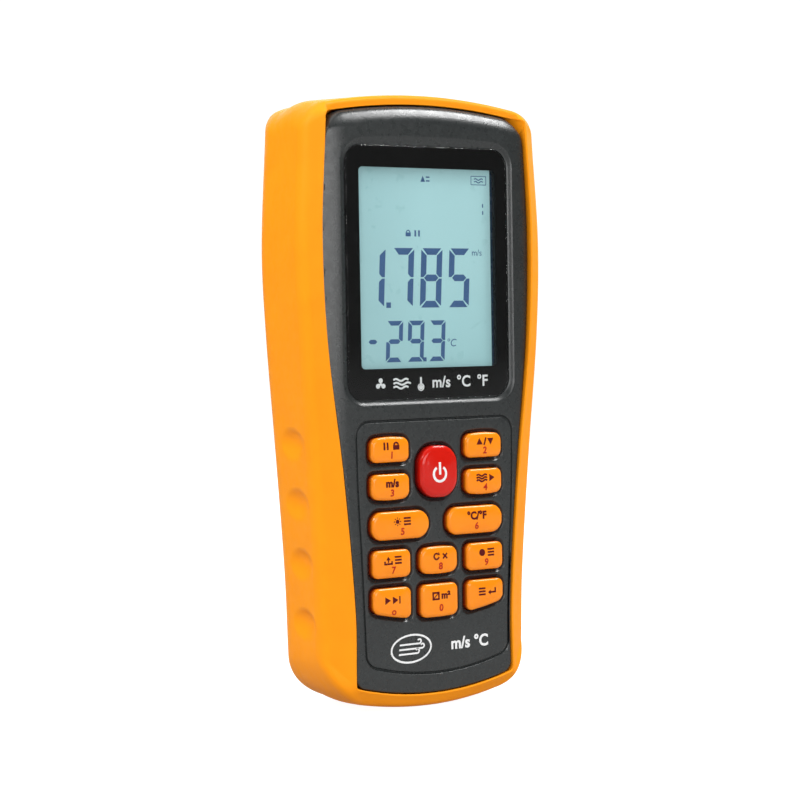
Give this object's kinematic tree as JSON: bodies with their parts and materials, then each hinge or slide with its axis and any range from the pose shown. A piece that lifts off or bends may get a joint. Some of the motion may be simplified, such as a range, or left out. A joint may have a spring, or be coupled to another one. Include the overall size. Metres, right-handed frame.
{
  "type": "handheld weather meter",
  "caption": "Handheld weather meter: waisted orange case, dark face, large display window, domed keys, sensor socket in the top and a battery door in the back.",
  "frame": {"origin": "middle of the bottom of the bounding box, with the meter standing upright", "axes": "+X to the right seen from the front, +Y from the display to the back, +Z from the bottom end to the top"},
  "size_m": [0.0844, 0.0406, 0.1795],
  "materials": {
    "case_orange": "satin moulded orange plastic",
    "face_grey": "dark grey plastic with a fine spark-eroded grain",
    "key_orange": "domed glossy caps",
    "power_red": "domed glossy cap",
    "lens": "clear polished window",
    "lens_border": "black border printed behind the window",
    "lcd_glass": "pale teal liquid crystal panel",
    "light_guide": "white moulded plastic",
    "silicone": "translucent grey silicone",
    "board": "green solder resist",
    "black_plastic": "black moulded plastic",
    "bare_metal": "plated steel",
    "screw_steel": "zinc-plated steel",
    "brass": "machined brass",
    "battery_wrap": "printed film over a steel can",
    "lead_red": "insulated wire",
    "lead_black": "insulated wire",
    "foam": "soft foam"
  },
  "bodies": {
    "meter": {"rear_tub": "case_orange", "front_cover": "face_grey", "display_lens": "lens", "lens_gasket": "lens_border", "lcd_panel": "lcd_glass", "lcd_backlight": "light_guide", "lcd_holder": "light_guide", "zebra_strip": "silicone", "main_board": "board", "keypad_mat": "silicone", "processor": "black_plastic", "buzzer": "black_plastic", "capacitor": "bare_metal", "sensor_socket": "black_plastic", "usb_socket": "bare_metal", "tripod_insert": "brass", "battery": "battery_wrap", "battery_snap": "black_plastic", "battery_lead_red": "lead_red", "battery_lead_black": "lead_black", "case_screw_1": "screw_steel", "board_screw_1": "screw_steel", "case_screw_2": "screw_steel", "board_screw_2": "screw_steel", "case_screw_3": "screw_steel", "board_screw_3": "screw_steel", "case_screw_4": "screw_steel", "board_screw_4": "screw_steel"},
    "power_key": {"power_key": "power_red"},
    "hold_key": {"hold_key": "key_orange"},
    "max_min_key": {"max_min_key": "key_orange"},
    "unit_key": {"unit_key": "key_orange"},
    "flow_key": {"flow_key": "key_orange"},
    "light_key": {"light_key": "key_orange"},
    "degree_key": {"degree_key": "key_orange"},
    "read_key": {"read_key": "key_orange"},
    "clear_key": {"clear_key": "key_orange"},
    "record_key": {"record_key": "key_orange"},
    "start_key": {"start_key": "key_orange"},
    "area_key": {"area_key": "key_orange"},
    "enter_key": {"enter_key": "key_orange"},
    "battery_door": {"battery_door": "case_orange", "door_pad": "foam"}
  },
  "joints": [
    {"name": "power_press", "type": "slide", "parent": "meter", "child": "power_key", "axis": [0, 1, 0], "range_m": [0, 0.001], "stiffness_N_per_m": 500, "springref_m": -0.001},
    {"name": "hold_press", "type": "slide", "parent": "meter", "child": "hold_key", "axis": [0, 1, 0], "range_m": [0, 0.001], "stiffness_N_per_m": 500, "springref_m": -0.001},
    {"name": "max_min_press", "type": "slide", "parent": "meter", "child": "max_min_key", "axis": [0, 1, 0], "range_m": [0, 0.001], "stiffness_N_per_m": 500, "springref_m": -0.001},
    {"name": "unit_press", "type": "slide", "parent": "meter", "child": "unit_key", "axis": [0, 1, 0], "range_m": [0, 0.001], "stiffness_N_per_m": 500, "springref_m": -0.001},
    {"name": "flow_press", "type": "slide", "parent": "meter", "child": "flow_key", "axis": [0, 1, 0], "range_m": [0, 0.001], "stiffness_N_per_m": 500, "springref_m": -0.001},
    {"name": "light_press", "type": "slide", "parent": "meter", "child": "light_key", "axis": [0, 1, 0], "range_m": [0, 0.001], "stiffness_N_per_m": 500, "springref_m": -0.001},
    {"name": "degree_press", "type": "slide", "parent": "meter", "child": "degree_key", "axis": [0, 1, 0], "range_m": [0, 0.001], "stiffness_N_per_m": 500, "springref_m": -0.001},
    {"name": "read_press", "type": "slide", "parent": "meter", "child": "read_key", "axis": [0, 1, 0], "range_m": [0, 0.001], "stiffness_N_per_m": 500, "springref_m": -0.001},
    {"name": "clear_press", "type": "slide", "parent": "meter", "child": "clear_key", "axis": [0, 1, 0], "range_m": [0, 0.001], "stiffness_N_per_m": 500, "springref_m": -0.001},
    {"name": "record_press", "type": "slide", "parent": "meter", "child": "record_key", "axis": [0, 1, 0], "range_m": [0, 0.001], "stiffness_N_per_m": 500, "springref_m": -0.001},
    {"name": "start_press", "type": "slide", "parent": "meter", "child": "start_key", "axis": [0, 1, 0], "range_m": [0, 0.001], "stiffness_N_per_m": 500, "springref_m": -0.001},
    {"name": "area_press", "type": "slide", "parent": "meter", "child": "area_key", "axis": [0, 1, 0], "range_m": [0, 0.001], "stiffness_N_per_m": 500, "springref_m": -0.001},
    {"name": "enter_press", "type": "slide", "parent": "meter", "child": "enter_key", "axis": [0, 1, 0], "range_m": [0, 0.001], "stiffness_N_per_m": 500, "springref_m": -0.001},
    {"name": "door_removal", "type": "slide", "parent": "meter", "child": "battery_door", "axis": [0, 1, 0], "range_m": [0, 0.03]}
  ]
}
